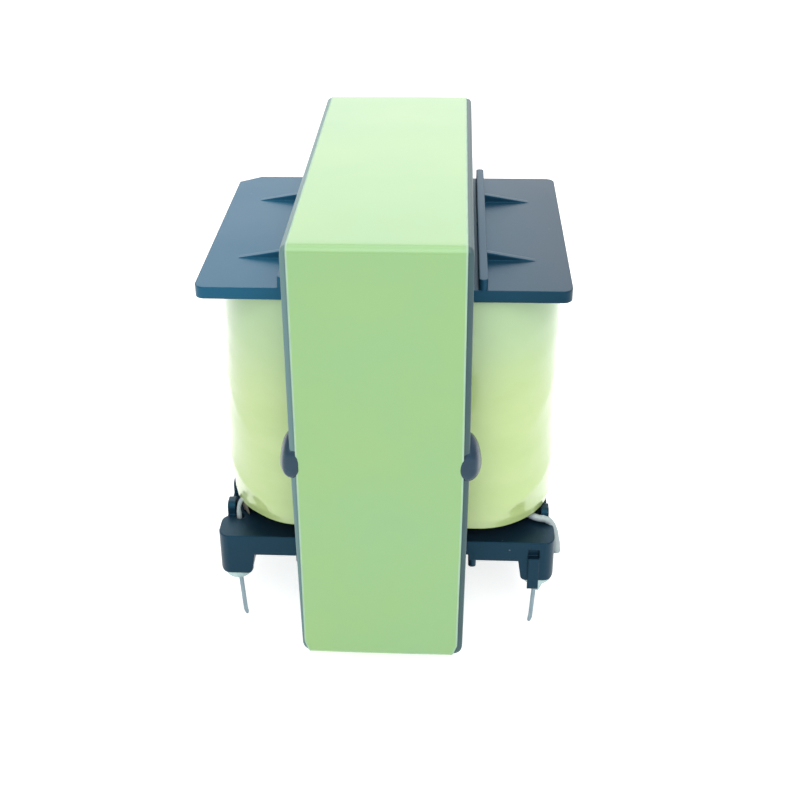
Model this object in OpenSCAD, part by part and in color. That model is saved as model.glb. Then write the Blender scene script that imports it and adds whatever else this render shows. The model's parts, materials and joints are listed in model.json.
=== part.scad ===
// Board-mounted ferrite transformer with a vertical winding axis.
// X runs across the thickness of the core, Y along its width and Z up.
// The pin tips stand on Z = 0, and the vertical axis passes through the centre leg.

/* [Core] */
// Width of the core across its three legs, along Y
core_w = 55.2; // [53:0.1:58]
// Thickness of the core, along X
core_t = 20.7; // [19:0.1:23]
// Height of one E half
half_h = 27.5; // [26:0.1:31]
// Clear distance between the two outer legs
leg_span = 38.1; // [37.6:0.1:39.5]
// Width of the centre leg
centre_leg_w = 17; // [15.5:0.1:18]
// Depth of the window in one E half
window_depth = 18.8; // [18:0.1:19.6]
// Radius of the core's outer corners
core_corner_r = 0.7; // [0.4:0.1:2]
// Radius at the root of the legs
root_r = 0.6; // [0.2:0.1:1.2]

/* [Core tape] */
// Width of the tape band round the core
tape_w = 19.35; // [16:0.05:20.5]
// Thickness of the wound tape band
tape_t = 0.15; // [0.1:0.05:0.3]

/* [Bobbin] */
// Wall of the tube round the centre leg
tube_wall = 1.3; // [1:0.1:1.8]
// Outer corner radius of the tube
tube_r = 1.5; // [1:0.1:2.5]
// Running clearance between bobbin and core
bobbin_gap = 0.25; // [0.1:0.05:0.4]
// Half width of the top flange, along X
top_half_x = 21.85; // [20.5:0.05:23]
// Thickness of the top flange
top_t = 1.45; // [1:0.05:2]
// Gap between the flanges' ends and the outer legs
flange_gap = 0.4; // [0.2:0.05:0.8]
// Corner radius of the top flange
flange_r = 1.2; // [0.5:0.1:2.5]
// Length of the chamfer that marks the first pin's corner, along X
key_x = 2.8; // [1.5:0.1:4]
// Length of the same chamfer along Y
key_y = 2.1; // [1.5:0.1:4]
// Thickness of the bottom flange inside the core's window
bottom_t = 2; // [1.6:0.1:2.6]
// How far the bottom flange's wings reach below it, beside the core
wing_drop = 0.85; // [0.2:0.05:1.2]

/* [Lips and gussets] */
// Thickness of the lips beside the core
lip_t = 1; // [0.8:0.05:1.4]
// Clearance between a lip and the side of the core
lip_gap = 0.75; // [0.3:0.05:1.2]
// Height of a lip above the top flange
lip_h = 1.35; // [0.8:0.05:2]
// Height of a lip below the bottom flange's wings
foot_h = 1.05; // [0.8:0.05:2]
// Length of a gusset along the flange
gusset_l = 5.9; // [3:0.1:7]
// Thickness of a gusset
gusset_t = 0.8; // [0.6:0.05:1.2]
// Height of a gusset at its lip
gusset_h = 1.05; // [0.6:0.05:1.3]
// Distance of the gussets from the middle of the flange
gusset_y = 9.7; // [6:0.1:13]

/* [Pin rails] */
// How far the rails' outer faces stay inside the top flange's edges
rail_back = 0.9; // [0.6:0.05:1]
// Width of a rail along X
rail_w = 3.65; // [3.4:0.05:4.2]
// How far the end blocks stand out past the rail
block_out = 0.6; // [0.3:0.05:1]
// Length of an end block along Y
block_l = 4.7; // [4.4:0.1:4.8]
// Corner radius of an end block
block_r = 1.4; // [0.4:0.1:1.6]
// Depth of the rails below the bottom flange's wings
rail_drop = 2.95; // [2.4:0.05:3.6]
// Rounding of the rails' lower edges
rail_edge_r = 0.7; // [0.3:0.1:1]
// Number of wire-guide teeth on each rail
teeth = 6; // [4:1:6]
// Distance from an end pin to the last tooth
tooth_inset = 3.8; // [3.75:0.05:4.4]
// Width of a tooth along Y
tooth_w = 2.3; // [1.6:0.1:2.8]
// Thickness of a tooth along X
tooth_t = 1; // [0.8:0.05:1.2]
// Height of a tooth above the bottom flange
tooth_h = 1.65; // [1:0.05:1.7]
// Width of the rib on the rail's end face
rib_w = 1.4; // [1:0.1:2]
// Distance of the rib from the pin's axis, toward the core
rib_shift = 0.5; // [0:0.05:0.7]
// How far the rib stands out
rib_out = 0.35; // [0.2:0.05:0.5]
// How far the rib reaches below the rail
rib_drop = 1.1; // [0.5:0.1:1.3]
// Height of the recess above the rib
recess_h = 1.2; // [0.8:0.1:1.6]
// Depth of the recess
recess_d = 0.5; // [0.3:0.1:0.8]
// Depth of the groove that takes a lead down the rail's outer face
groove_d = 0.35; // [0.3:0.05:0.5]
// Height of the same groove
groove_h = 2.7; // [2.4:0.1:2.9]

/* [Pins and solder] */
// Diameter of a pin
pin_d = 0.9; // [0.6:0.05:1.2]
// Distance of the pins from the rail's outer face
pin_back = 1.55; // [1.5:0.05:1.9]
// Thickness of a pin's root, where it is pressed into the rail
root_d = 1; // [0.95:0.05:1.1]
// Distance of the pins from the flange's ends
pin_inset = 2.15; // [2.05:0.05:2.6]
// Length of a pin below the seat of the core
pin_reach = 3; // [2:0.1:4.5]
// Length of a pin inside its rail
pin_grip = 3; // [2:0.1:4]
// Radius of the solder where it meets the rail
solder_r = 1.65; // [1.2:0.05:1.7]
// Height of the solder along the pin
solder_h = 2.4; // [1.5:0.1:2.6]

/* [Windings] */
// Share of the copper's build that the inner primary takes
inner_share = 0.36; // [0.3:0.01:0.4]
// Share of the copper's build that the secondary takes
secondary_share = 0.33; // [0.28:0.01:0.36]
// Gap between the outer wrap and the core's outer legs
wrap_gap = 0.85; // [0.6:0.05:1.2]
// Thickness of each insulation layer between windings
layer_t = 0.3; // [0.15:0.05:0.35]
// Thickness of the outer tape wrap
wrap_t = 0.3; // [0.15:0.05:0.35]
// How far the outer wrap stays inside the top flange's edges, along X
wrap_in = 0.74; // [0.7:0.02:1.5]
// Height of the margin tape at each end of the windings
margin_h = 4; // [4:0.1:5]
// How far the margin tape stays inside the wrap
margin_in = 2.9; // [2.8:0.1:3.4]
// Height of the wrap's lower edge above the bottom flange
wrap_lift = 1.75; // [1.7:0.05:2]
// How far the wrap draws in at its lower edge
wrap_draw = 0.8; // [0:0.1:0.9]
// Height over which the wrap draws in
draw_h = 2.1; // [1.6:0.1:2.2]

/* [Lead-outs] */
// Diameter of a secondary lead, which goes over the end block
lead_d = 0.8; // [0.4:0.05:0.9]
// Outside diameter of its sleeve
sleeve_d = 1.5; // [1.4:0.05:1.55]
// Diameter of a primary lead, which goes down beside its pin
thin_lead_d = 0.4; // [0.3:0.05:0.45]
// Outside diameter of its sleeve
thin_sleeve_d = 0.95; // [0.9:0.05:1.1]
// Wall of the sleeves
sleeve_wall = 0.22; // [0.15:0.01:0.22]
// Height above the rail's foot where a secondary sleeve ends
sleeve_end = 1.9; // [1.6:0.1:2.6]

/* [Glue] */
// Radius of the glue beads on the core's joint
glue_r = 2.6; // [1.5:0.1:3]
// How far a glue bead stands out from the core
glue_out = 1.7; // [0.8:0.1:2]

/* [Hidden] */
$fn = 48;
// Clearance between pieces that lie against each other
fit = 0.04;
// Extra length of a cutting solid past the face that it cuts
cut = 1;

// Levels from the pin tips upward
core_z = pin_reach + tape_t + fit;
joint_z = core_z + half_h;
window_z0 = joint_z - window_depth;
window_z1 = joint_z + window_depth;
bottom_z0 = window_z0 + bobbin_gap;
bottom_z1 = bottom_z0 + bottom_t;
top_z1 = window_z1 - bobbin_gap;
top_z0 = top_z1 - top_t;
wing_z0 = bottom_z0 - wing_drop;
rail_z = wing_z0 - rail_drop;
seat_z = rail_z - solder_h - 2 * fit;

// Plan sizes of the bobbin
flange_half_y = leg_span / 2 - flange_gap;
tube_in_x = core_t / 2 + bobbin_gap;
tube_in_y = centre_leg_w / 2 + bobbin_gap;
tube_x = tube_in_x + tube_wall;
tube_y = tube_in_y + tube_wall;
lip_x = core_t / 2 + lip_gap;
rail_out = top_half_x - rail_back;
rail_in = rail_out - rail_w;
block_x = rail_out + block_out;
pin_x = rail_out - pin_back;
pin_y = flange_half_y - pin_inset;
rib_x = pin_x - rib_shift;

// Builds of the layers from the tube outward, along Y
build_wrap = leg_span / 2 - wrap_gap - tube_y;
bulge = (top_half_x - wrap_in - tube_x) / build_wrap;
copper = build_wrap - wrap_t - 2 * layer_t - fit;
build_inner = fit + copper * inner_share;
build_ins1 = build_inner + layer_t;
build_sec = build_ins1 + copper * secondary_share;
build_ins2 = build_sec + layer_t;
build_outer = build_wrap - wrap_t;
build_margin = build_wrap - margin_in;
wind_z0 = bottom_z1 + margin_h;
wind_z1 = top_z0 - margin_h;

// Centre of the margin tape's corner arcs, round which the leads leave
arc_x = tube_x + build_margin * bulge - (tube_r + build_margin);
arc_y = tube_y - tube_r;
recess_z0 = wing_z0 + (bottom_z1 - wing_z0 - recess_h) * 0.35;
hole_d = thin_sleeve_d * 1.3;
hole_x = rail_out - tooth_t - hole_d / 2 - fit;
hole_y = pin_y - solder_r - hole_d / 2 - 2 * fit;
groove_w = lead_d * 1.5;
groove_y = pin_y - solder_r * 0.55;

// Corner signs of the four lead-outs: left or right, front or back
FL = [-1, -1];
FR = [1, -1];
BL = [-1, 1];
BR = [1, 1];

// ---- general shapes ----

// Rectangle with half sizes hx and hy and rounded corners
module rounded(hx, hy, r) {
    hull()
        for (x = [-1, 1], y = [-1, 1])
            translate([x * (hx - r), y * (hy - r)])
                circle(r);
}

// Rounded rectangle from arcs and boxes, which stays exact when extruded
module plate(hx, hy, r) {
    square([2 * (hx - r), 2 * hy], center = true);
    square([2 * hx, 2 * (hy - r)], center = true);
    for (x = [-1, 1], y = [-1, 1])
        translate([x * (hx - r), y * (hy - r)])
            circle(r);
}

// Outline of the winding after a given build over the tube
module turns(build, grow = 0) {
    plate(tube_x + build * bulge + grow, tube_y + build + grow, tube_r + build + grow);
}

// One wound layer between two builds
module layer(from, to, z0, z1) {
    translate([0, 0, z0])
        linear_extrude(z1 - z0)
            difference() {
                turns(to);
                turns(from, fit);
            }
}

function unit(v) = v / norm(v);
function bezier(p, t) =
    pow(1 - t, 3) * p[0] + 3 * t * pow(1 - t, 2) * p[1] + 3 * t * t * (1 - t) * p[2] + pow(t, 3) * p[3];

// Smooth route through points, by a Catmull-Rom curve with n steps between each pair
function smooth(p, n) = [
    for (i = [0:len(p) - 2])
        let (a = p[max(i - 1, 0)], b = p[i], c = p[i + 1], d = p[min(i + 2, len(p) - 1)])
            for (k = [0:n - 1])
                bezier([b, b + (c - a) / 6, c - (d - b) / 6, c], k / n),
    p[len(p) - 1]
];

function tangents(p) = [
    for (i = [0:len(p) - 1])
        unit(p[min(i + 1, len(p) - 1)] - p[max(i - 1, 0)])
];

function side(v, t) = unit(v - (v * t) * t);

// Round tube swept along a route, without twist
module sweep(p, r, sides) {
    t = tangents(p);
    n = len(p);
    first = side([0, 1, 0.3], t[0]);
    u = [for (i = 0, v = first; i < n; i = i + 1, v = i < n ? side(v, t[i]) : v) v];
    rings = [
        for (i = [0:n - 1], k = [0:sides - 1])
            p[i] + r * (cos(360 * k / sides) * u[i] + sin(360 * k / sides) * cross(t[i], u[i]))
    ];
    faces = concat(
        [[for (k = [0:sides - 1]) sides - 1 - k]],
        [for (i = [0:n - 2], k = [0:sides - 1])
            let (a = i * sides + k, b = i * sides + (k + 1) % sides)
                [a, b, b + sides, a + sides]],
        [[for (k = [0:sides - 1]) (n - 1) * sides + k]]
    );
    polyhedron(rings, [for (f = faces) [for (k = [len(f) - 1:-1:0]) f[k]]]);
}

// Repeats its children at the four corners, as mirror images
module corner(c) {
    mirror([c[0] < 0 ? 1 : 0, 0, 0])
        mirror([0, c[1] > 0 ? 1 : 0, 0])
            children();
}

// ---- core ----

// Outline of one E half in Y and Z, with the joint face at Z = 0 and the yoke below
module e_outline() {
    hw = core_w / 2;
    difference() {
        union() {
            translate([-hw, -half_h + core_corner_r])
                square([core_w, half_h - core_corner_r]);
            translate([-hw + core_corner_r, -half_h])
                square([core_w - 2 * core_corner_r, core_corner_r]);
            for (s = [-1, 1])
                translate([s * (hw - core_corner_r), -half_h + core_corner_r])
                    circle(core_corner_r);
        }
        for (s = [-1, 1])
            translate([s * (leg_span + centre_leg_w) / 4, 0])
                e_window((leg_span - centre_leg_w) / 2);
    }
}

// One window of the E half, with rounded roots
module e_window(w) {
    translate([-w / 2, -window_depth + root_r])
        square([w, window_depth - root_r + cut]);
    translate([-w / 2 + root_r, -window_depth])
        square([w - 2 * root_r, root_r + cut]);
    for (s = [-1, 1])
        translate([s * (w / 2 - root_r), -window_depth + root_r])
            circle(root_r);
}

module e_half() {
    rotate([90, 0, 90])
        translate([0, 0, -core_t / 2])
            linear_extrude(core_t)
                e_outline();
}

module core_lower() {
    color("#4a5054")
        translate([0, 0, joint_z])
            e_half();
}

module core_upper() {
    color("#4a5054")
        translate([0, 0, joint_z])
            mirror([0, 0, 1])
                e_half();
}

// ---- core tape ----

module core_tape() {
    color("#cfe6b4")
        translate([0, 0, joint_z])
            rotate([90, 0, 90])
                translate([0, 0, -tape_w / 2])
                    linear_extrude(tape_w)
                        difference() {
                            plate(core_w / 2 + fit + tape_t, half_h + fit + tape_t,
                                core_corner_r + fit + tape_t);
                            plate(core_w / 2 + fit, half_h + fit, core_corner_r + fit);
                        }
}

// ---- bobbin ----

module tube_hole(z0, z1) {
    translate([0, 0, z0])
        linear_extrude(z1 - z0)
            square([2 * tube_in_x, 2 * tube_in_y], center = true);
}

module top_flange() {
    translate([0, 0, top_z0])
        linear_extrude(top_t)
            difference() {
                plate(top_half_x, flange_half_y, flange_r);
                polygon([
                    [-top_half_x - cut, flange_half_y - key_y - cut * key_y / key_x],
                    [-top_half_x + key_x + cut * key_x / key_y, flange_half_y + cut],
                    [-top_half_x - cut, flange_half_y + cut]
                ]);
            }
}

// Lip beside the core, with rounded ends, at a distance x from the axis and from z0 to z1
module lip(x, z0, z1) {
    for (s = [-1, 1])
        translate([s * (x + lip_t / 2), 0, z0])
            linear_extrude(z1 - z0)
                plate(lip_t / 2, flange_half_y, lip_t * 0.45);
}

module gusset() {
    translate([lip_x + lip_t, gusset_t / 2, top_z1])
        rotate([90, 0, 0])
            linear_extrude(gusset_t)
                polygon([[-lip_t / 2, -top_t / 2], [gusset_l, -top_t / 2], [gusset_l, 0], [0, gusset_h],
                    [-lip_t / 2, gusset_h]]);
}

// Section of a rail in X and Z, with rounded lower edges
module rail_section(x1) {
    hull() {
        for (x = [rail_in + rail_edge_r, x1 - rail_edge_r])
            translate([x, rail_z + rail_edge_r])
                circle(rail_edge_r, $fn = 32);
        translate([rail_in - 0.6, bottom_z0 + bottom_t / 2])
            square([x1 - rail_in + 0.6, bottom_t / 4]);
    }
}

module rail() {
    rotate([90, 0, 0])
        translate([0, 0, -flange_half_y + block_l / 2])
            linear_extrude(2 * flange_half_y - block_l)
                rail_section(rail_out);
    for (s = [-1, 1])
        intersection() {
            translate([0, s * (flange_half_y - block_l / 2), 0])
                rotate([90, 0, 0])
                    translate([0, 0, -block_l / 2])
                        linear_extrude(block_l)
                            rail_section(block_x);
            translate([0, s * (flange_half_y - block_l / 2), 0])
                linear_extrude(bottom_z1)
                    plate(block_x, block_l / 2, block_r);
        }
}

module bottom_plate() {
    translate([0, 0, bottom_z0])
        linear_extrude(bottom_t)
            plate(rail_out, flange_half_y, rail_edge_r);
    translate([0, 0, wing_z0])
        linear_extrude(bottom_z1 - wing_z0)
            for (x = [-1, 1]) {
                translate([x * (tube_in_x + rail_out) / 2, 0])
                    square([rail_out - tube_in_x, 2 * (flange_half_y - block_r)], center = true);
                translate([x * (tube_in_x + rail_in) / 2, 0])
                    square([rail_in - tube_in_x, 2 * flange_half_y], center = true);
                for (y = [-1, 1])
                    translate([x * (block_x - block_l / 2), y * (flange_half_y - block_l / 2)])
                        plate(block_l / 2, block_l / 2, block_r);
            }
}

// Wire-guide tooth on the outer edge of the bottom flange, with a rounded top
module tooth() {
    r = tooth_w / 3;
    rotate([90, 0, 90])
        linear_extrude(tooth_t)
            union() {
                translate([-tooth_w / 2, -bottom_t / 2])
                    square([tooth_w, tooth_h + bottom_t / 2 - r]);
                translate([-tooth_w / 2 + r, tooth_h - r - cut / 2])
                    square([tooth_w - 2 * r, r + cut / 2]);
                for (s = [-1, 1])
                    translate([s * (tooth_w / 2 - r), tooth_h - r])
                        circle(r);
            }
}

module teeth_row() {
    last = pin_y - tooth_inset;
    for (i = [0:teeth - 1])
        translate([rail_out - tooth_t, last * (2 * i / (teeth - 1) - 1), bottom_z1])
            tooth();
}

// Rib on the end face of a rail, which reaches below it
module end_rib() {
    h = recess_z0 - rail_z;
    translate([rib_x - rib_w / 2, -flange_half_y - rib_out, rail_z - rib_drop])
        cube([rib_w, rib_out, h + rib_drop]);
    translate([rib_x - rib_w / 2, -flange_half_y - rib_out, rail_z])
        cube([rib_w, rib_out + recess_d, h]);
}

module end_recess() {
    translate([rib_x - rib_w / 2, -flange_half_y - cut, recess_z0])
        cube([rib_w, cut + recess_d, recess_h]);
}

module wire_groove() {
    translate([rail_out - groove_d, -groove_y - groove_w / 2, rail_z - cut])
        cube([block_out + groove_d + cut, groove_w, groove_h + cut]);
}

module pin_hole() {
    translate([0, 0, rail_z - cut])
        cylinder(h = pin_grip + cut + fit, d = root_d + 2 * fit);
}

module bobbin() {
    color("#20262a")
        difference() {
            union() {
                translate([0, 0, bottom_z0])
                    linear_extrude(top_z1 - bottom_z0)
                        plate(tube_x, tube_y, tube_r);
                top_flange();
                lip(lip_x, top_z0 + top_t / 2, top_z1 + lip_h);
                for (a = [0, 180], y = [-1, 1])
                    rotate([0, 0, a])
                        translate([0, y * gusset_y, 0])
                            gusset();
                bottom_plate();
                lip(tube_in_x, wing_z0 - foot_h, bottom_z0 + bottom_t / 2);
                for (a = [0, 180])
                    rotate([0, 0, a]) {
                        rail();
                        teeth_row();
                        end_rib();
                    }
            }
            tube_hole(bottom_z0 - cut, top_z1 + cut);
            for (a = [0, 180])
                rotate([0, 0, a]) {
                    end_recess();
                    wire_groove();
                    translate([hole_x, hole_y, rail_z - cut])
                        cylinder(h = bottom_z1 - rail_z + 2 * cut, d = hole_d);
                    for (y = [-1, 1])
                        translate([pin_x, y * pin_y, 0])
                            pin_hole();
                }
        }
}

// ---- windings ----

module primary_inner() {
    color("#b5622e")
        layer(0, build_inner, wind_z0, wind_z1);
}

module insulation_inner() {
    color("#e3d24a")
        layer(build_inner, build_ins1, wind_z0, wind_z1);
}

module secondary() {
    color("#b5622e")
        layer(build_ins1, build_sec, wind_z0, wind_z1);
}

module insulation_outer() {
    color("#e3d24a")
        layer(build_sec, build_ins2, wind_z0, wind_z1);
}

module primary_outer() {
    color("#b5622e")
        layer(build_ins2, build_outer, wind_z0, wind_z1);
}

module margin_tape_lower() {
    color("#b9b2a0")
        layer(0, build_margin, bottom_z1 + fit, wind_z0 - fit);
}

module margin_tape_upper() {
    color("#b9b2a0")
        layer(0, build_margin, wind_z1 + fit, top_z0 - fit);
}

// Wrap's outline at each level: height above its lower edge, and how far it draws in there
module wrap_form(inset, over) {
    h = top_z0 - 5 * fit - bottom_z1 - wrap_lift;
    levels = [[-over, wrap_draw], [draw_h * 0.24, wrap_draw * 0.6], [draw_h * 0.57, wrap_draw * 0.25],
        [draw_h, 0], [h + over, 0]];
    translate([0, 0, bottom_z1 + wrap_lift])
        hull()
            for (v = levels)
                translate([0, 0, v[0]])
                    linear_extrude(0.01)
                        rounded(tube_x + build_wrap * bulge - v[1] - inset,
                            tube_y + build_wrap - v[1] / 2 - inset,
                            tube_r + build_wrap - v[1] / 2 - inset, $fn = 48);
}

module winding_wrap() {
    color("#dbe87e")
        difference() {
            wrap_form(0, 0);
            wrap_form(wrap_t - fit, 0.05);
        }
}

// ---- pins, solder and lead-outs ----

module pin() {
    color("#c9ced0")
        translate([pin_x, -pin_y, 0])
            rotate_extrude()
                polygon([[0, 0], [pin_d * 0.3, 0], [pin_d / 2, pin_d * 0.35],
                    [pin_d / 2, seat_z], [root_d / 2, seat_z + fit],
                    [root_d / 2, rail_z + pin_grip], [0, rail_z + pin_grip]]);
}

module solder() {
    inner = root_d / 2 + fit;
    lip = solder_r * 0.09;
    z1 = rail_z - fit;
    color("#b8c4c4")
        translate([pin_x, -pin_y, 0])
            rotate_extrude()
                polygon([[inner, z1 - solder_h], [inner + lip, z1 - solder_h],
                    [inner + lip * 3, z1 - solder_h * 0.55],
                    [solder_r * 0.85, z1 - solder_h * 0.2], [solder_r, z1], [inner, z1]]);
}

// Where a lead of diameter d lies between margin tape and wrap, at angle a round the corner
function exit_at(a, d, z, out = 0) =
    let (r = tube_r + build_margin + d / 2 + 2 * fit + out)
        [arc_x + r * cos(a), -arc_y - r * sin(a), z];

// Route that turns outward under the wrap, goes over the end block and down its outer face
turn_r = sleeve_d * 0.73;
over_r = sleeve_d * 0.83;
over_in = sleeve_d * 0.2;
over_z = bottom_z1 - over_in + over_r;
over_x = block_x - over_in + over_r;
over_end = rail_z + sleeve_end;
over_a = asin((groove_y - sleeve_d * 1.15 - arc_y) / (tube_r + build_margin + sleeve_d / 2 + 2 * fit + turn_r));
function turn_at(b) =
    exit_at(over_a, sleeve_d, over_z + turn_r * (1 - sin(b)), turn_r * (1 - cos(b)));
function over_at(b, y) = [over_x - over_r * (1 - cos(b)), -groove_y + y, over_z - over_r * (1 - sin(b))];
function route_over() = [
    exit_at(over_a, sleeve_d, wind_z0 - margin_h * 0.15),
    turn_at(0),
    turn_at(45),
    turn_at(90),
    over_at(90, 0.4),
    over_at(45, 0.2),
    over_at(0, 0.1),
    [over_x, -groove_y, bottom_z0],
    [over_x, -groove_y, over_end]
];
function tail_over() = [
    [over_x, -groove_y, over_end],
    [over_x - over_in, -groove_y, over_end - sleeve_d * 0.45],
    [rail_out + 4 * fit, -groove_y, over_end - sleeve_d * 0.8],
    [rail_out + 4 * fit, -groove_y, rail_z + 4 * fit]
];

// Route straight down through the hole beside the pin
down_a = atan2(hole_y - arc_y, hole_x - arc_x);
function route_down() = [
    exit_at(down_a, thin_sleeve_d, wind_z0 - margin_h * 0.1),
    exit_at(down_a, thin_sleeve_d, bottom_z1 + margin_h * 0.6, thin_sleeve_d * 0.2),
    exit_at(down_a, thin_sleeve_d, bottom_z1 + margin_h * 0.3, thin_sleeve_d * 1.15),
    [hole_x, -hole_y, bottom_z1 + 2 * fit],
    [hole_x, -hole_y, bottom_z1 - hole_d]
];
function tail_down() = [
    [hole_x, -hole_y, bottom_z1 - hole_d],
    [hole_x, -hole_y, rail_z + hole_d],
    [hole_x, -hole_y, rail_z - 5 * fit]
];

module sleeve(route, d) {
    p = smooth(route, 3);
    ends = concat([p[0] + unit(p[0] - p[1]) * 0.5], p,
        [p[len(p) - 1] + unit(p[len(p) - 1] - p[len(p) - 2]) * 0.5]);
    color("#dfe6e2")
        difference() {
            sweep(p, d / 2, 12);
            sweep(ends, d / 2 - sleeve_wall, 8);
        }
}

module lead(route, tail, d) {
    p = smooth(concat(route, [for (i = [1:len(tail) - 1]) tail[i]]), 3);
    color("#a8643a")
        sweep(p, d / 2, 8);
}

module glue() {
    in_x = glue_r - glue_out;
    color("#1c2226")
        intersection() {
            translate([core_t / 2 + fit - in_x, 0, joint_z])
                hull() {
                    translate([0, -core_w / 2 + glue_r, 0])
                        sphere(glue_r, $fn = 24);
                    translate([0, -leg_span / 2 - glue_r * 0.6, 0.3])
                        sphere(glue_r * 0.85, $fn = 24);
                }
            translate([core_t / 2 + fit, -core_w, 0])
                cube([glue_r * 2, core_w, joint_z * 2]);
        }
}

bobbin();
core_upper();
core_lower();
core_tape();
primary_inner();
insulation_inner();
secondary();
insulation_outer();
primary_outer();
margin_tape_lower();
margin_tape_upper();
winding_wrap();
corner(FL) pin();  // pin_front_left
corner(FR) pin();  // pin_front_right
corner(BL) pin();  // pin_back_left
corner(BR) pin();  // pin_back_right
corner(FL) solder();  // solder_front_left
corner(FR) solder();  // solder_front_right
corner(BL) solder();  // solder_back_left
corner(BR) solder();  // solder_back_right
corner(FL) lead(route_down(), tail_down(), thin_lead_d);  // lead_front_left
corner(FR) lead(route_over(), tail_over(), lead_d);  // lead_front_right
corner(BL) lead(route_over(), tail_over(), lead_d);  // lead_back_left
corner(BR) lead(route_down(), tail_down(), thin_lead_d);  // lead_back_right
corner(FL) sleeve(route_down(), thin_sleeve_d);  // sleeve_front_left
corner(FR) sleeve(route_over(), sleeve_d);  // sleeve_front_right
corner(BL) sleeve(route_over(), sleeve_d);  // sleeve_back_left
corner(BR) sleeve(route_down(), thin_sleeve_d);  // sleeve_back_right
corner(FL) glue();  // glue_front_left
corner(FR) glue();  // glue_front_right
corner(BL) glue();  // glue_back_left
corner(BR) glue();  // glue_back_right
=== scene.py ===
"""Looks of a board-mounted ferrite transformer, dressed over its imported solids.

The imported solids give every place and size. Each class below dresses one sub-assembly:
it finishes the solids that have the right shape already, and builds meshes for the soft,
drawn or moulded forms that a plain solid can't hold.
"""

from __future__ import annotations

import json
import logging
import math
import random
from dataclasses import dataclass
from enum import Enum
from typing import Any, Iterable, Sequence

import bpy
from mathutils import Matrix, Vector, noise

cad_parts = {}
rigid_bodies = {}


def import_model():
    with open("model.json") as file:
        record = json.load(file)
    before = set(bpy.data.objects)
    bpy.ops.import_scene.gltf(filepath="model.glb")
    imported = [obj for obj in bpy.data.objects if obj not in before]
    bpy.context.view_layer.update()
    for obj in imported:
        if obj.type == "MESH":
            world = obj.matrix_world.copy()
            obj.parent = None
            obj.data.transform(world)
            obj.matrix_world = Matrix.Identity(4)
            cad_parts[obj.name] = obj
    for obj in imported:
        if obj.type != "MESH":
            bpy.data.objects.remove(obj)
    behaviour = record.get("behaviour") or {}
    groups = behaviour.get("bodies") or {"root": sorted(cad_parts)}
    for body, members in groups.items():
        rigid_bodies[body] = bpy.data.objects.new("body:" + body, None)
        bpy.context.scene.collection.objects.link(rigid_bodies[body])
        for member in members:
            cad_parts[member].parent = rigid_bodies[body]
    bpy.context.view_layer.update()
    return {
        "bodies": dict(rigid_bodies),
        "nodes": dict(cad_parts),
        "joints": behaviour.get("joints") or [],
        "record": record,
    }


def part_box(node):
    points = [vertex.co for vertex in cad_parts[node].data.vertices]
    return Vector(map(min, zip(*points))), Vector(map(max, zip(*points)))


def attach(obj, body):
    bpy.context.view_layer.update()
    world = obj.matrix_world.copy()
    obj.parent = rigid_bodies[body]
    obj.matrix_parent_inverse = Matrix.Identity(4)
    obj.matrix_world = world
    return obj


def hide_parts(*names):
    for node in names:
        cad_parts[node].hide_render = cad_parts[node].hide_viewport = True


LOG = logging.getLogger("transformer")
MM = 0.001
BODY = "root"
DUST_COLOUR = "#b9c8cc"
# Length of one wave of the wave texture at a scale of 1
WAVE_PITCH = 0.314
WHITE = (1, 1, 1, 1)

Tree = bpy.types.NodeTree
Socket = bpy.types.NodeSocket
Piece = bpy.types.Object
Pair = tuple[float, float]
Point = tuple[float, float, float]
Quad = tuple[float, float, float, float]
Table = tuple[tuple[float, ...], ...]


class Corner(Enum):
    """The four corners where leads and pins leave, as a name and the signs of X and Y."""

    FRONT_LEFT = ("front_left", -1, -1)
    FRONT_RIGHT = ("front_right", 1, -1)
    BACK_LEFT = ("back_left", -1, 1)
    BACK_RIGHT = ("back_right", 1, 1)

    @property
    def label(self) -> str:
        """Name used in the nodes of this corner."""
        return self.value[0]

    @property
    def signs(self) -> tuple[int, int]:
        """Signs of X and Y at this corner."""
        return self.value[1], self.value[2]

    @property
    def heavy(self) -> bool:
        """Whether the thick secondary lead leaves here, over the end block."""
        return self.value[1] * self.value[2] < 0


# ---- node and mesh helpers ----


def linear(colour: str) -> Quad:
    """Turn an sRGB hex colour into linear RGBA.

    Args:
        colour: Six hex digits after a hash.

    Returns:
        Linear red, green, blue and an alpha of 1.
    """
    channels = [int(colour[i : i + 2], 16) / 255 for i in (1, 3, 5)]
    r, g, b = (c / 12.92 if c <= 0.04045 else ((c + 0.055) / 1.055) ** 2.4 for c in channels)
    return (r, g, b, 1.0)


def add_node(
    tree: Tree, kind: str, inputs: dict[str | int, Any] | None = None, **settings: Any
) -> bpy.types.Node:
    """Add a node, set its properties and fill or link its sockets.

    Args:
        tree: The node tree to add to.
        kind: Blender's name for the shader node, without its ShaderNode prefix.
        inputs: Values or output sockets by input name or index.
        settings: Node properties by name.

    Returns:
        The new node.
    """
    node = tree.nodes.new(f"ShaderNode{kind}")
    for name, value in settings.items():
        setattr(node, name, value)
    for key, value in (inputs or {}).items():
        if isinstance(value, Socket):
            tree.links.new(value, node.inputs[key])
        else:
            node.inputs[key].default_value = value
    return node


def mix_colours(tree: Tree, share: Socket, first: Any, second: Any) -> Socket:
    """Blend two colours."""
    node = add_node(tree, "Mix", {0: share, 6: first, 7: second}, data_type="RGBA")
    return node.outputs[2]


def object_place(tree: Tree) -> Socket:
    """Coordinates in the piece's own frame, in metres."""
    return add_node(tree, "TexCoord").outputs["Object"]


def soft_noise(tree: Tree, place: Socket, size_mm: float, detail: float) -> Socket:
    """Noise between 0 and 1."""
    inputs = {"Vector": place, "Scale": 1 / (size_mm * MM), "Detail": detail}
    return add_node(tree, "TexNoise", inputs).outputs["Fac"]


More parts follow.
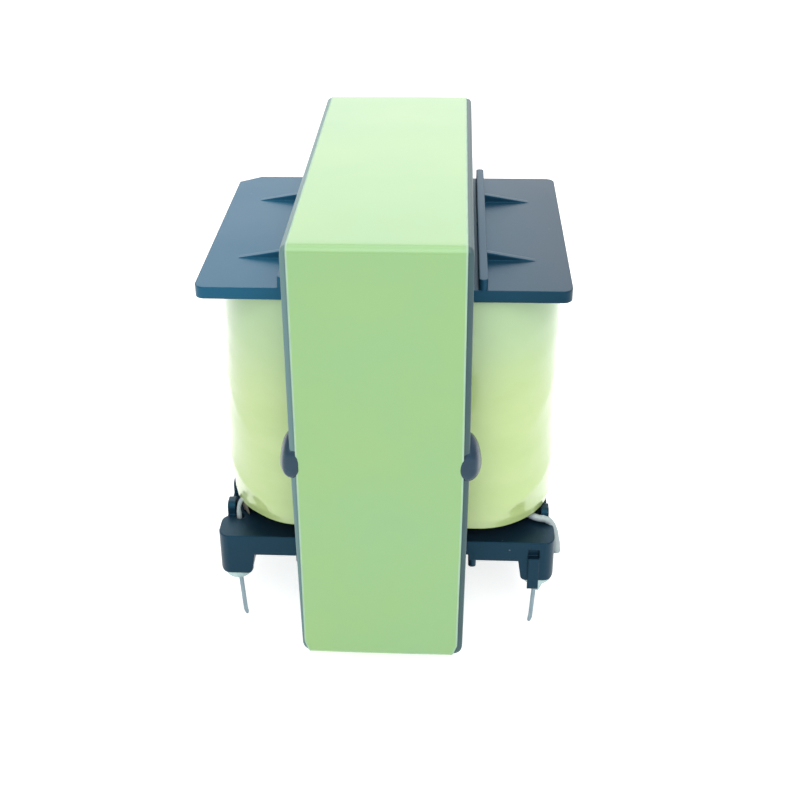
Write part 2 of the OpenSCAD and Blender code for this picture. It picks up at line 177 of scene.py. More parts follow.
def remap(
    tree: Tree,
    value: Socket,
    source: Pair = (0.0, 1.0),
    target: Pair = (0.0, 1.0),
    **settings: Any,
) -> Socket:
    """Map a value from one range to another, without passing its ends."""
    inputs = dict(enumerate((value, *source, *target)))
    return add_node(tree, "MapRange", inputs, **settings).outputs[0]


def new_material(name: str) -> tuple[bpy.types.Material, Tree]:
    """Make an empty node material.

    Args:
        name: The material's name.

    Returns:
        The material and its node tree.
    """
    material = bpy.data.materials.new(name)
    material.use_nodes = True
    material.node_tree.nodes.clear()
    return material, material.node_tree


def mesh_piece(name: str, points: Sequence[Point], faces: Iterable[Sequence[int]]) -> Piece:
    """Make a smooth mesh object from points in millimetres.

    Args:
        name: The piece's name.
        points: Vertices in millimetres.
        faces: Vertex indices of each face.

    Returns:
        The linked object, riding on the body.
    """
    mesh = bpy.data.meshes.new(name)
    mesh.from_pydata([Vector(p) * MM for p in points], [], [tuple(f) for f in faces])
    mesh.validate()
    mesh.shade_smooth()
    piece = bpy.data.objects.new(name, mesh)
    bpy.context.scene.collection.objects.link(piece)
    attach(piece, BODY)
    return piece


def ring_faces(rings: int, around: int, close_ends: bool = True, flip: bool = False) -> list[list[int]]:
    """Faces that join rings of points into a tube.

    Args:
        rings: Number of rings, each with the same number of points.
        around: Points in each ring.
        close_ends: Whether the first and last rings get a cap.
        flip: Whether the faces turn the other way.

    Returns:
        Vertex indices of each face.
    """
    faces = []
    for i in range(rings - 1):
        for k in range(around):
            a, b = i * around + k, i * around + (k + 1) % around
            faces.append([a, b, b + around, a + around])
    if close_ends:
        faces.append(list(range(around))[::-1])
        faces.append([(rings - 1) * around + k for k in range(around)])
    return [f[::-1] for f in faces] if flip else faces


def shell_faces(rings: int, around: int) -> list[list[int]]:
    """Faces that join rings of points into a closed shell, from the last ring back to the first.

    Args:
        rings: Number of rings, each with the same number of points.
        around: Points in each ring.

    Returns:
        Vertex indices of each face.
    """
    last = (rings - 1) * around
    closing = [[last + k, last + (k + 1) % around, (k + 1) % around, k] for k in range(around)]
    return ring_faces(rings, around, close_ends=False) + closing


def smooth_path(points: Sequence[Point], steps: int) -> list[Vector]:
    """Run a Catmull-Rom curve through points.

    Args:
        points: Points that the curve passes through.
        steps: Samples between each pair of points.

    Returns:
        Samples along the curve.
    """
    p = [Vector(q) for q in points]
    out = []
    for i in range(len(p) - 1):
        a, b, c, d = p[max(i - 1, 0)], p[i], p[i + 1], p[min(i + 2, len(p) - 1)]
        u, v = b + (c - a) / 6, c - (d - b) / 6
        for k in range(steps):
            t = k / steps
            s = 1 - t
            out.append(b * s**3 + u * (3 * t * s * s) + v * (3 * t * t * s) + c * t**3)
    return out + [p[-1]]


def tube_rings(path: Sequence[Vector], radii: Sequence[float], around: int) -> list[Point]:
    """Points of a round tube along a path, without twist.

    Args:
        path: Centre line.
        radii: Radius at each point of the path.
        around: Points round the tube.

    Returns:
        All ring points, ring by ring.
    """
    rings = []
    side = None
    for i, centre in enumerate(path):
        along = (path[min(i + 1, len(path) - 1)] - path[max(i - 1, 0)]).normalized()
        side = along.orthogonal() if side is None else side - along * side.dot(along)
        side.normalize()
        other = along.cross(side)
        for k in range(around):
            a = 2 * math.pi * k / around
            rings.append(tuple(centre + (side * math.cos(a) + other * math.sin(a)) * radii[i]))
    return rings


def node_box(node: str) -> tuple[Vector, Vector]:
    """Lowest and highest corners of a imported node, in millimetres."""
    low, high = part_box(node)
    return Vector(low) / MM, Vector(high) / MM


def blend_step(x: float, start: float, end: float) -> float:
    """Smooth step from 0 at start to 1 at end."""
    t = min(max((x - start) / (end - start), 0.0), 1.0)
    return t * t * (3 - 2 * t)


# ---- finishes ----


@dataclass(frozen=True)
class Finish:
    """A surface of one material, varied by soft noise, fine grain and worn edges.

    Colours are sRGB. Grain, cloud and edge sizes are in millimetres.
    """

    name: str
    colour: str
    other: str
    roughness: float
    roughness_swing: float = 0.05
    metallic: float = 0.0
    ior: float = 1.5
    specular: float = 0.5
    specular_tint: str = "#ffffff"
    coat: float = 0.0
    coat_roughness: float = 0.08
    cloud_mm: float = 6.0
    grain_mm: float = 0.3
    grain_depth: float = 0.0
    stretch: Point = (1.0, 1.0, 1.0)
    turn: Point = (0.0, 0.0, 0.0)
    contrast: float = 0.5
    edge_mm: float = 0.0
    dust: float = 0.0
    dust_mm: float = 0.5
    dust_cut: Pair = (0.78, 0.86)

    def pattern(self, tree: Tree) -> Socket:
        """Object coordinates, turned and stretched for this finish."""
        inputs = {"Vector": object_place(tree), "Rotation": self.turn, "Scale": self.stretch}
        return add_node(tree, "Mapping", inputs).outputs[0]

    def tint(self, tree: Tree, cloud: Socket) -> Socket:
        """Colour of the surface, between the two tones of the finish."""
        spread = remap(tree, cloud, (0.5 - 0.5 * self.contrast, 0.5 + 0.5 * self.contrast))
        return mix_colours(tree, spread, linear(self.colour), linear(self.other))

    def dusty(self, tree: Tree, colour: Socket) -> Socket:
        """Add sparse pale specks of dust to a colour.

        Args:
            tree: The node tree.
            colour: The clean colour.

        Returns:
            The dusty colour's socket.
        """
        specks = soft_noise(tree, object_place(tree), self.dust_mm, 1.0)
        share = remap(tree, specks, self.dust_cut, (0.0, self.dust))
        return mix_colours(tree, share, colour, linear(DUST_COLOUR))

    def relief(self, tree: Tree, pattern: Socket) -> Socket | None:
        """Normal of the grained surface, with its edges softened.

        Args:
            tree: The node tree.
            pattern: Coordinates of the grain.

        Returns:
            The normal's socket, or None where the finish has neither grain nor soft edges.
        """
        normal = None
        if self.edge_mm:
            normal = add_node(tree, "Bevel", {"Radius": self.edge_mm * MM}, samples=6).outputs[0]
        if self.grain_depth:
            grain = soft_noise(tree, pattern, self.grain_mm, 2.0)
            inputs = {"Height": grain, "Strength": 0.6, "Distance": self.grain_depth * MM}
            bump = add_node(tree, "Bump", inputs)
            if normal:
                tree.links.new(normal, bump.inputs["Normal"])
            normal = bump.outputs[0]
        return normal

    def shading(self, tree: Tree) -> bpy.types.Node:
        """Build the shader and its patterns.

        Args:
            tree: The node tree.

        Returns:
            The shader node.
        """
        pattern = self.pattern(tree)
        cloud = soft_noise(tree, pattern, self.cloud_mm, 3.0)
        colour = self.tint(tree, cloud)
        if self.dust:
            colour = self.dusty(tree, colour)
        swing = self.roughness_swing
        inputs = {
            "Base Color": colour,
            "Roughness": remap(tree, cloud, target=(self.roughness - swing, self.roughness + swing)),
            "Metallic": self.metallic,
            "Specular IOR Level": self.specular,
            "Specular Tint": linear(self.specular_tint),
            "Coat Weight": self.coat,
            "Coat Roughness": self.coat_roughness,
        }
        shader = add_node(tree, "BsdfPrincipled", inputs)
        if self.metallic < 0.5:
            shader.inputs["IOR"].default_value = self.ior
        normal = self.relief(tree, pattern)
        if normal:
            tree.links.new(normal, shader.inputs["Normal"])
        return shader

    def build(self) -> bpy.types.Material:
        """Make the material.

        Returns:
            The finished material.
        """
        material, tree = new_material(self.name)
        add_node(tree, "OutputMaterial", {"Surface": self.shading(tree).outputs[0]})
        return material


@dataclass(frozen=True)
class PaintedLightFinish(Finish):
    """A surface with painted light and shade: its tone drifts from one end of the piece to the other.

    The third tone, far, is painted light and shade, paler where light falls and duller where shade falls.
    It comes in along a direction, between two distances in millimetres.
    """

    # Tone of the painted light and shade
    far: str = "#ffffff"
    along: Point = (0.0, 0.0, 1.0)
    begin: float = 0.0
    full: float = 1.0
    cloudy_mm: float = 6.0

    def tint(self, tree: Tree, cloud: Socket) -> Socket:
        """Colour between the two tones, and toward the painted light and shade of the third tone along the
        direction.

        Args:
            tree: The node tree.
            cloud: Soft noise between 0 and 1.

        Returns:
            The colour's socket.
        """
        colour = super().tint(tree, cloud)
        inputs = {0: object_place(tree), 1: self.along}
        way = add_node(tree, "VectorMath", inputs, operation="DOT_PRODUCT")
        inputs = {0: cloud, 1: self.cloudy_mm * MM, 2: way.outputs["Value"]}
        drift = add_node(tree, "Math", inputs, operation="MULTIPLY_ADD")
        middle = self.cloudy_mm / 2
        source = ((self.begin + middle) * MM, (self.full + middle) * MM)
        share = remap(tree, drift.outputs[0], source, interpolation_type="SMOOTHSTEP")
        return mix_colours(tree, share, colour, linear(self.far))


@dataclass(frozen=True)
class WoundCopper(Finish):
    """Enamelled copper laid in turns, seen as bands up the coil."""

    turn_mm: float = 0.8

    def relief(self, tree: Tree, pattern: Socket) -> Socket:
        """Normal of the turns, one band for each.

        Args:
            tree: The node tree.
            pattern: Coordinates of the bands.

        Returns:
            The normal's socket.
        """
        inputs = {"Vector": pattern, "Scale": WAVE_PITCH / (self.turn_mm * MM)}
        wave = add_node(tree, "TexWave", inputs, bands_direction="Z")
        inputs = {"Height": wave.outputs["Fac"], "Strength": 1.0, "Distance": 0.3 * self.turn_mm * MM}
        return add_node(tree, "Bump", inputs).outputs[0]


# Sintered manganese-zinc ferrite, ground on its faces: dull charcoal, with a paler grey painted toward the
# left side as painted light.
FERRITE = PaintedLightFinish(
    name="ferrite_ground_painted_light", colour="#324a4d", other="#3f585a", roughness=0.4, specular=0.7,
    specular_tint="#d9f6ff", cloud_mm=4.0, grain_mm=0.25, grain_depth=0.01, edge_mm=0.15,
    # far: paler grey toward -X, painted light on the core's left side
    far="#6b8a8a", along=(-1.0, 0.0, 0.0), begin=-6.0, full=10.0, cloudy_mm=1.0,
)

# Moulded glass-filled polyester: near black with a fine satin skin; paler and bluer toward the upper flange
# and the left, as painted light and sheen.
MOULDED = PaintedLightFinish(
    name="moulded_polyester_painted_light", colour="#0f2130", other="#152836", roughness=0.36, specular=0.55,
    specular_tint="#68c2f0", cloud_mm=9.0, grain_mm=0.22, grain_depth=0.012, edge_mm=0.28,
    # far: paler blue toward the top and -X, painted light and sheen on the upper flange
    dust=0.3, dust_mm=0.6, far="#285e7a", along=(-0.8, 0.0, 1.0), begin=24.0, full=64.0,
)

# Clear polyester film over yellow adhesive, pulled tight: glossy, paler in soft clouds where it lies loose,
# and greyer green toward the top as painted shade under the upper flange.
WRAP_FILM = PaintedLightFinish(
    name="wrap_film_painted_shade", colour="#cbe690", other="#daf0a4", roughness=0.32, ior=1.6,
    specular_tint="#dcfff4", coat=0.9, coat_roughness=0.12, cloud_mm=5.0,
    stretch=(0.35, 0.35, 1.0), turn=(0.0, 0.3, 0.0), contrast=0.55,
    # far: greyer green toward the top, painted shade under the upper flange
    far="#bfdfa6", along=(0.0, 0.0, 1.0), begin=32.0, full=47.0,
)

# The same film over the core, wider and flat: even pale green-yellow with a soft shine.
CORE_FILM = Finish(
    name="core_film", colour="#a3ce80", other="#9bca8b", roughness=0.34, ior=1.6,
    specular_tint="#dcfff4", coat=0.5, coat_roughness=0.14, cloud_mm=14.0, contrast=0.6,
)

# Border of the core film: a paler band, painted highlight along the film's edge.
FILM_EDGE_HIGHLIGHT = Finish(
    name="film_painted_highlight", colour="#c3e4c8", other="#b0d8b8", roughness=0.5, cloud_mm=2.0,
)

# A thin dark line along the film's cut edge: painted shadow in the gap where the film stands off the
# ferrite.
FILM_SHADOW_LINE = Finish(
    name="film_painted_shadow_line", colour="#1d3a3c", other="#28484a", roughness=0.5, cloud_mm=2.0,
)

# Paper-backed margin tape: matt brownish grey with a fibrous edge.
MARGIN_FILM = Finish(
    name="margin_tape", colour="#8d877c", other="#aaa598", roughness=0.6, cloud_mm=1.2,
    stretch=(0.5, 0.5, 2.0), grain_mm=0.15, grain_depth=0.01,
)

# Thin polyester insulation between the windings.
LAYER_FILM = Finish(
    name="layer_film", colour="#d9c84a", other="#e6d86c", roughness=0.4, coat=0.3, cloud_mm=3.0,
)

# Tin plating over steel wire: grey, soft-edged reflections with faint drawing marks.
TINNED = Finish(
    name="tin_plating", colour="#8fa0a8", other="#74858e", roughness=0.3, metallic=1.0,
    cloud_mm=0.8, stretch=(2.0, 2.0, 0.3),
)

# Solder frozen in a smooth fillet: brighter than the pin, with a slightly grainy skin.
SOLDER = Finish(
    name="solder_fillet", colour="#b4c8c8", other="#98b0b2", roughness=0.34, metallic=0.85,
    cloud_mm=0.9, grain_mm=0.2, grain_depth=0.01,
)

# Enamelled copper: warm metal under a clear amber coat.
COPPER = Finish(
    name="enamelled_copper", colour="#8a5436", other="#9c6240", roughness=0.3, metallic=0.8,
    coat=0.4, cloud_mm=2.0,
)

# White silicone-varnished glass sleeving: milky, slightly glossy.
SLEEVING = Finish(
    name="sleeving", colour="#c2cfd1", other="#aebdc0", roughness=0.4, coat=0.2, cloud_mm=1.2,
    stretch=(1.0, 1.0, 0.5), grain_mm=0.12, grain_depth=0.008,
)

# Black one-part epoxy: rounded by its own tension, smooth and slightly glossy.
EPOXY = Finish(
    name="black_epoxy", colour="#12263a", other="#1a384c", roughness=0.26, specular=0.6,
    specular_tint="#cdeeff", cloud_mm=1.5, grain_mm=0.4, grain_depth=0.02,
)

# The same enamelled copper, wound in turns.
WOUND = WoundCopper(
    name="wound_copper", colour="#a4592d", other="#b86a38", roughness=0.28, metallic=0.85,
    coat=0.5, cloud_mm=2.0,
)


class Paints:
    """Materials made once from their finishes."""

    def __init__(self) -> None:
        """Start with nothing made."""
        self.made: dict[str, bpy.types.Material] = {}

    def get(self, finish: Finish) -> bpy.types.Material:
        """Return the material of a finish, building it the first time.

        Args:
            finish: The finish wanted.

        Returns:
            Its material.
        """
        if finish.name not in self.made:
            self.made[finish.name] = finish.build()
        return self.made[finish.name]

    def dress(self, piece: Piece, *finishes: Finish) -> None:
        """Give a piece its materials, the first of them on the whole surface.

        Args:
            piece: A mesh object.
            finishes: Its finishes, in the order of its slots.
        """
        piece.data.materials.clear()
        for finish in finishes:
            piece.data.materials.append(self.get(finish))

    def dress_node(self, frame: dict[str, Any], node: str, finish: Finish) -> None:
        """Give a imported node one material, and leave its mesh as it is.

        Args:
            frame: The loaded frame.
            node: The node's name.
            finish: Its finish.
        """
        piece = frame["nodes"][node]
        for slot in piece.material_slots:
            slot.material = self.get(finish)
        LOG.info("%s dressed in %s", node, finish.name)


# ---- sub-assemblies ----


@dataclass
class Assembly:
    """A sub-assembly, with the loaded frame and the shared paints. Sizes are in millimetres."""

    frame: dict[str, Any]
    paints: Paints


@dataclass
class Core(Assembly):
    """Two ferrite E halves with rubbed edges, and the film band that holds them together."""

    half_width: float = 27.6
    leg_span: float = 38.1
    centre_leg: float = 17.0
    window_depth: float = 18.8
    edge_r: float = 0.25
    foot_r: float = 1.25
    top_r: float = 0.6
    edge_steps: tuple[float, ...] = (0.0, 0.03, 0.1, 0.45, 0.8)
    arc_steps: int = 4
    film_t: float = 0.15
    band_rows: int = 36
    # Width of the band's border rows, which carry the painted highlight
    border: float = 0.2
    corner_r: float = 0.95
    corner_steps: int = 8
    bow: float = 0.03
    ripple: float = 0.03
    # Waves of the ripple to a millimetre across, along Y and up, and where its noise starts
    ripple_waves: tuple[float, ...] = (0.12, 0.1, 0.1, 3.0)
    seam_rise: float = 0.03
    seam_width: float = 0.25
    pinch: float = 0.65
    pinch_height: float = 2.2
    askew: float = 0.34
    askew_height: float = 28.0
    taper: float = 0.4
    wrapped_r: float = 0.7
    hair: float = 0.01

    def build(self) -> None:
        """Make the halves and the band."""
        self.half("core_lower", -1)
        self.half("core_upper", 1)
        self.band()

    def half(self, node: str, up: int) -> None:
        """Make one E half, with small ground edges and a rounder foot.

        Args:
            node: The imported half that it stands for.
            up: 1 where its legs point down, -1 where they point up.
        """
        low, high = node_box(node)
        joint = low.z if up > 0 else high.z
        height = high.z - low.z
        soft = self.foot_r if up < 0 else self.top_r
        taper = self.taper / high.x / height if up < 0 else 0.0
        outline = self.e_outline(height)
        count = len(outline)
        gaps = sorted((*self.edge_steps, self.edge_r, soft))
        stations = [(-1, gap) for gap in gaps] + [(1, gap) for gap in reversed(gaps)]
        points: list[Point] = []
        for sign, gap in stations:
            inset, lift = self.round_off(gap, self.edge_r), self.round_off(gap, soft)
            for k, (y, z) in enumerate(outline):
                before, after = outline[k - 1], outline[(k + 1) % count]
                one = Vector((before[1] - z, y - before[0])).normalized()
                two = Vector((z - after[1], after[0] - y)).normalized()
                inward = (one + two) / (1 + one.dot(two)) * inset
                drop = lift if z > height - self.wrapped_r - self.hair else 0.0
                x = sign * (high.x * (1 - taper * z) - gap)
                points.append((x, y + inward.x, joint + up * (z + inward.y - drop)))
        faces = ring_faces(len(stations), count, close_ends=True, flip=up > 0)
        piece = mesh_piece(f"ground_{node}", points, faces)
        piece.data.shade_flat()
        self.paints.dress(piece, FERRITE)
        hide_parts(node)
        LOG.info("%s: %d faces", node, len(piece.data.polygons))

    def e_outline(self, height: float) -> list[Pair]:
        """Outline of one half from the side, from its joint up, turned anticlockwise.

        Args:
            height: Height of the half.

        Returns:
            Points as (y, z), with round outer corners.
        """
        inner, middle, radius = self.leg_span / 2, self.centre_leg / 2, self.wrapped_r
        deep = self.window_depth
        points = [
            (-self.half_width, 0.0), (-inner, 0.0), (-inner, deep), (-middle, deep), (-middle, 0.0),
            (middle, 0.0), (middle, deep), (inner, deep), (inner, 0.0), (self.half_width, 0.0),
        ]
        for turn, side in ((0, 1), (1, -1)):
            for k in range(self.arc_steps + 1):
                a = math.pi / 2 * (turn + k / self.arc_steps)
                y = side * (self.half_width - radius) + radius * math.cos(a)
                points.append((y, height - radius + radius * math.sin(a)))
        return points

    @staticmethod
    def round_off(gap: float, radius: float) -> float:
        """Depth of a rounded edge at a distance in from the face."""
        return radius - math.sqrt(radius**2 - (radius - gap) ** 2) if gap < radius else 0.0

    def outline(self, half_y: float, half_z: float, radius: float) -> list[Quad]:
        """Walk round the core in Y and Z, with about a millimetre between points on its sides.

        Args:
            half_y: Half width of the rounded rectangle.
            half_z: Half height of it.
            radius: Its corner radius.

        Returns:
            Y, Z and the outward normal at each point.
        """
        corners = ((1, 1, 0), (-1, 1, 90), (-1, -1, 180), (1, -1, 270))
        walk: list[Quad] = []
        for y, z, start in corners:
            for k in range(self.corner_steps + 1):
                a = math.radians(start + 90 * k / self.corner_steps)
                c, w = math.cos(a), math.sin(a)
                walk.append((y * (half_y - radius) + radius * c, z * (half_z - radius) + radius * w, c, w))
        full = []
        for i, here in enumerate(walk):
            after = walk[(i + 1) % len(walk)]
            full.append(here)
            count = int(math.hypot(after[0] - here[0], after[1] - here[1]))
            for k in range(1, count):
                t = k / count
                full.append(tuple(here[j] + (after[j] - here[j]) * t for j in range(4)))
        return full

    def band(self) -> None:
        """Make the film band round the core, a little bowed and rippled, and narrower at the foot."""
        low, high = node_box("core_tape")
        joint = node_box("core_upper")[0].z
        middle = (low + high) / 2
        half = (high - low) / 2
        outer = self.outline(half.y, half.z, self.corner_r)
        count = len(outer)
        inner_half = half.x - self.border
        steps = [-half.x] + [
            -inner_half + 2 * inner_half * i / self.band_rows for i in range(self.band_rows + 1)
        ] + [half.x]
        wx, wy, wz, at = self.ripple_waves
        rings = []
        for across in steps:
            edge = abs(across) / half.x
            for y, z, ny, nz in outer:
                above_joint = (z + middle.z - joint) / self.seam_width
                lift = self.bow * (1 - edge**2)
                lift += self.ripple * noise.noise(Vector((across * wx, y * wy, z * wz + at)))
                lift += self.seam_rise * math.exp(-(above_joint**2)) * (abs(ny) > 0.9)
                x = self.settle(across, half.x, z + half.z)
                rings.append((x, middle.y + y + ny * lift, middle.z + z + nz * lift))
        outside = len(rings)
        for sign in (-1, 1):
            for y, z, ny, nz in outer:
                x = self.settle(sign * half.x, half.x, z + half.z)
                rings.append((x, middle.y + y - ny * self.film_t, middle.z + z - nz * self.film_t))
        faces = []
        for i in range(len(steps) - 1):
            for k in range(count):
                a, b = i * count + k, i * count + (k + 1) % count
                faces.append([a, a + count, b + count, b])
        last = (len(steps) - 1) * count
        for k in range(count):
            n = (k + 1) % count
            left, right = outside, outside + count
            faces.append([left + k, k, n, left + n])
            faces.append([last + k, right + k, right + n, last + n])
            faces.append([right + k, left + k, left + n, right + n])
        piece = mesh_piece("core_film_band", rings, faces)
        self.paints.dress(piece, CORE_FILM, FILM_EDGE_HIGHLIGHT, FILM_SHADOW_LINE)
        # Faces on the two border rows get the painted highlight; the side rims and inner face get the
        # painted shadow line.
        for face in piece.data.polygons:
            if any(v >= outside for v in face.vertices):
                face.material_index = 2
            elif any(v < count or v >= last for v in face.vertices):
                face.material_index = 1
        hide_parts("core_tape")
        LOG.info("core band: %d faces", len(faces))

    def settle(self, across: float, half: float, height: float) -> float:
        """Move a point of the band sideways, as it was wound: narrower at the foot, more so on one side.

        Args:
            across: Its even place across the band.
            half: Half width of the band.
            height: Its height above the foot.

        Returns:
            Its settled place.
        """
        narrow = self.pinch * (1 - blend_step(height, 0.0, self.pinch_height))
        lean = self.askew * (0.5 + 0.5 * across / half) * (1 - blend_step(height, 0.0, self.askew_height))
        return across * (1 - narrow / half) - lean


@dataclass
class Crease:
    """One soft wrinkle in the wrap: its place, slope, length, width and height in millimetres."""

    around: float
    height: float
    slope: float
    length: float
    width: float
    rise: float

    def lift(self, s: float, z: float, perimeter: float) -> float:
        """Rise of the crease at a place on the wrap.

        Args:
            s: Distance round the wrap.
            z: Height above the wrap's lower edge.
            perimeter: Length once round the wrap.

        Returns:
            Rise in millimetres.
        """
        ds = (s - self.around + perimeter / 2) % perimeter - perimeter / 2
        dz = z - self.height
        if abs(ds) > self.length or abs(dz) > self.length:
            return 0.0
        c, w = math.cos(self.slope), math.sin(self.slope)
        along = (ds * c + dz * w) / self.length
        across = (-ds * w + dz * c) / self.width
        if abs(along) >= 1:
            return 0.0
        return self.rise * (1 - along**2) ** 2 * math.exp(-(across**2))


@dataclass
class Coil(Assembly):
    """Windings on the bobbin's tube, their margin tapes and the outer film wrap.

    The wrap's sides and edge are given at heights over the wrap's lower edge, because the
    turns lie less tight on one side than on the other.
    """

    corner_r: float = 9.64
    columns: int = 360
    rows: int = 130
    row_power: float = 1.15
    wrinkles: int = 80
    seed: int = 11
    wrinkle_slope: Pair = (4.0, 34.0)
    wrinkle_length: Pair = (5.0, 12.0)
    wrinkle_width: Pair = (0.45, 1.2)
    wrinkle_rise: Pair = (-0.08, 0.13)
    left_slack: Table = (
        (0.0, 0.82), (1.2, 0.64), (3.0, 0.5), (6.0, 0.37),
        (10.0, 0.52), (16.0, 0.72), (24.0, 0.86), (31.7, 1.0),
    )
    right_slack: Table = (
        (0.0, 0.1), (1.2, -0.1), (3.0, -0.16), (6.0, -0.14),
        (12.0, 0.0), (20.0, -0.12), (27.0, -0.2), (31.7, 0.0),
    )
    end_slack: Table = ((0.0, 0.35), (1.4, 0.16), (4.0, 0.04), (28.0, 0.0), (31.7, 0.25))
    # Depth of a swell, its waves to a millimetre round and up, and where its noise starts
    swells: Table = ((0.12, 0.06, 0.09, 1.7), (0.05, 0.22, 0.35, 8.1))
    # Place past a corner, height, slope, length, width and rise of a drawn fold
    folds: Table = (
        (0.0, 4.2, 0.42, 9.0, 0.9, 0.3),
        (2.0, 1.9, 0.3, 8.0, 1.1, -0.12),
        (1.0, 15.0, 0.8, 8.0, 1.1, 0.16),
        (-2.0, 25.5, -0.7, 7.0, 0.8, -0.15),
    )
    fold_place: float = 19.0
    fold_share: float = 0.6
    deepest: float = 0.3
    film_t: float = 0.3
    hem_height: float = 5.0
    hem_sag: float = 0.3
    hem_power: int = 8
    hem_wave: float = 0.12
    hem_rate: float = 0.13
    hem_seed: float = 4.4
    light_rise: float = 0.3
    tab_t: float = 0.12
    tab_over: float = 1.4
    tab_in: float = 0.7
    tab_lean: float = 0.5
    tab_foot: float = 0.05
    tab_crumple: float = 0.16
    tab_waves: Pair = (0.35, 2.1)
    tab_columns: int = 30
    tab_rows: int = 8
    tab_shift: Pair = (0.4, 0.1)
    heavy_tab: Pair = (10.0, 34.0)
    light_tab: Pair = (14.0, 38.0)
    coil_slack: float = 1.15
    coil_t: float = 2.0
    turn: float = 0.8
    turn_stride: int = 3
    turn_rings: int = 4
    ridge: float = 0.2

    def build(self) -> None:
        """Dress the inner windings and make the outer one and the wrap."""
        for node in ("primary_inner", "secondary"):
            self.paints.dress_node(self.frame, node, WOUND)
        for node in ("insulation_inner", "insulation_outer"):
            self.paints.dress_node(self.frame, node, LAYER_FILM)
        for node in ("margin_tape_lower", "margin_tape_upper"):
            self.paints.dress_node(self.frame, node, MARGIN_FILM)
        self.wound_layer()
        self.wrap()
        for corner in Corner:
            self.tab(corner)

    def slack(self, table: Table, z: float) -> float:
        """Read a table of slack at a height.

        Args:
            table: Heights and slacks, in millimetres.
            z: Height over the wrap's lower edge.

        Returns:
            The slack there, blended smoothly.
        """
        for (z0, a), (z1, b) in zip(table, table[1:]):
            if z <= z1:
                return a + (b - a) * blend_step(z, z0, z1)
        return table[-1][1]

    def inset(self, nx: float, z: float) -> float:
        """How far the wrap lies inside its packed outline."""
        side = self.slack(self.left_slack if nx < 0 else self.right_slack, z)
        return side * nx * nx + self.slack(self.end_slack, z) * (1 - nx * nx)

    def creases(self, perimeter: float, height: float) -> list[Crease]:
        """Lay the large drawn folds and scatter the soft wrinkles, the same way each time.

        Args:
            perimeter: Length once round the wrap.
            height: Height of the wrap.

        Returns:
            The wrinkles.
        """
        draw = random.Random(self.seed)
        out = []
        for side in (-1, 1):
            for turned in (0.0, perimeter / 2):
                for shift, level, slope, length, width, rise in self.folds:
                    around = (turned + side * (self.fold_place + shift)) % perimeter
                    out.append(Crease(around, level, side * slope, length, width, rise))
        for _ in range(self.wrinkles):
            out.append(
                Crease(
                    around=draw.uniform(0, perimeter),
                    height=draw.uniform(0.5, height - 2),
                    slope=math.radians(draw.choice((-1, 1)) * draw.uniform(*self.wrinkle_slope)),
                    length=draw.uniform(*self.wrinkle_length),
                    width=draw.uniform(*self.wrinkle_width),
                    rise=draw.uniform(*self.wrinkle_rise),
                )
            )
        return out

    def outline(self, half_x: float, half_y: float, radius: float) -> list[tuple[float, ...]]:
        """Walk once round the wrap at even steps, from the middle of the front.

        Args:
            half_x: Half size along X.
            half_y: Half size along Y.
            radius: Corner radius.

        Returns:
            X, Y, the outward normal and the distance walked at each point, with the whole
            length last.
        """
        sx, sy, arc = half_x - radius, half_y - radius, math.pi / 2 * radius
        legs = [
            (sx, (0, -half_y), 0.0, False),
            (arc, (sx, -sy), -90.0, True),
            (2 * sy, (half_x, -sy), 90.0, False),
            (arc, (sx, sy), 0.0, True),
            (2 * sx, (sx, half_y), 180.0, False),
            (arc, (-sx, sy), 90.0, True),
            (2 * sy, (-half_x, sy), 270.0, False),
            (arc, (-sx, -sy), 180.0, True),
            (sx, (-sx, -half_y), 0.0, False),
        ]
        total = sum(leg[0] for leg in legs)
        walk = []
        for k in range(self.columns):
            rest = total * k / self.columns
            for length, at, degrees, bent in legs:
                if rest <= length:
                    break
                rest -= length
            a = math.radians(degrees) + (rest / radius if bent else 0.0)
            c, w = math.cos(a), math.sin(a)
            reach, normal = (radius, (c, w)) if bent else (rest, (w, -c))
            walk.append((at[0] + reach * c, at[1] + reach * w, *normal, total * k / self.columns, total))
        return walk

    def wound_layer(self) -> None:
        """Make the outer winding as ridged turns, set in from its packed outline."""
        low, high = node_box("primary_outer")
        half = (high - low) / 2
        walk = self.outline(half.x, half.y, self.corner_r - self.film_t)[:: self.turn_stride]
        around = len(walk)
        count = int((high.z - low.z) / self.turn)
        rings = self.turn_rings * count
        points: list[Point] = []
        for j in range(rings + 1):
            z = low.z + (high.z - low.z) * j / rings
            ridge = self.ridge * abs(math.sin(math.pi * count * j / rings)) - self.coil_slack
            points += [(x + nx * ridge, y + ny * ridge, z) for x, y, nx, ny, *_ in walk]
        for j in (rings, 0):
            z = low.z + (high.z - low.z) * j / rings
            points += [(x - nx * self.coil_t, y - ny * self.coil_t, z) for x, y, nx, ny, *_ in walk]
        piece = mesh_piece("outer_turns", points, shell_faces(rings + 3, around))
        self.paints.dress(piece, WOUND)
        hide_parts("primary_outer")

